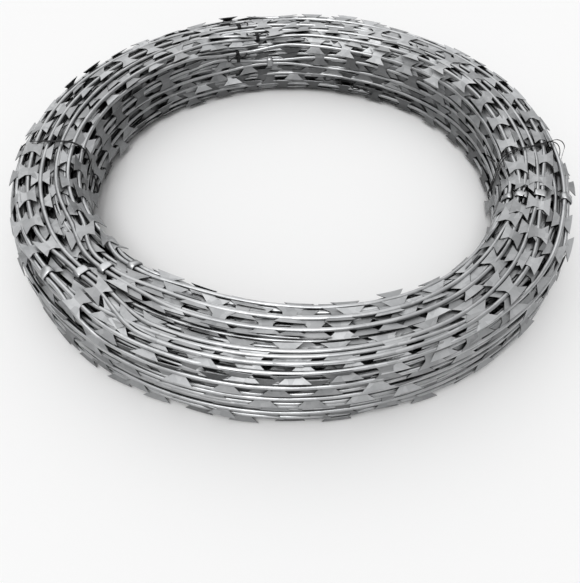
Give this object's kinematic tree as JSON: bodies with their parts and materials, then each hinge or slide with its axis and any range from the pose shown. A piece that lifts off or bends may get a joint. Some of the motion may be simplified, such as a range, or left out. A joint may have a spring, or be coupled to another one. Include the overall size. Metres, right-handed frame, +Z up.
{
  "type": "concertina razor wire coil",
  "caption": "Bundled coil of galvanised razor wire: closely packed turns of barbed tape with pointed blades, clipped turn to turn and tied with soft wire.",
  "frame": {"origin": "centre of the coil's ring on the floor it lies on, under the middle of its bore", "axes": "+Z up along the coil's axis; +X to the right of the picture; -Y towards its front"},
  "size_m": [0.5045, 0.504, 0.0708],
  "materials": {
    "barbed_tape": "galvanised, bright, slightly spangled",
    "clips": "galvanised, smooth",
    "tie_wire": "dull drawn wire"
  },
  "bodies": {
    "root": {"razor_wire_coil": "barbed_tape", "clips_right": "clips", "clips_back": "clips", "clips_front_left": "clips", "tie_wire_right": "tie_wire", "tie_wire_left": "tie_wire"}
  },
  "joints": []
}
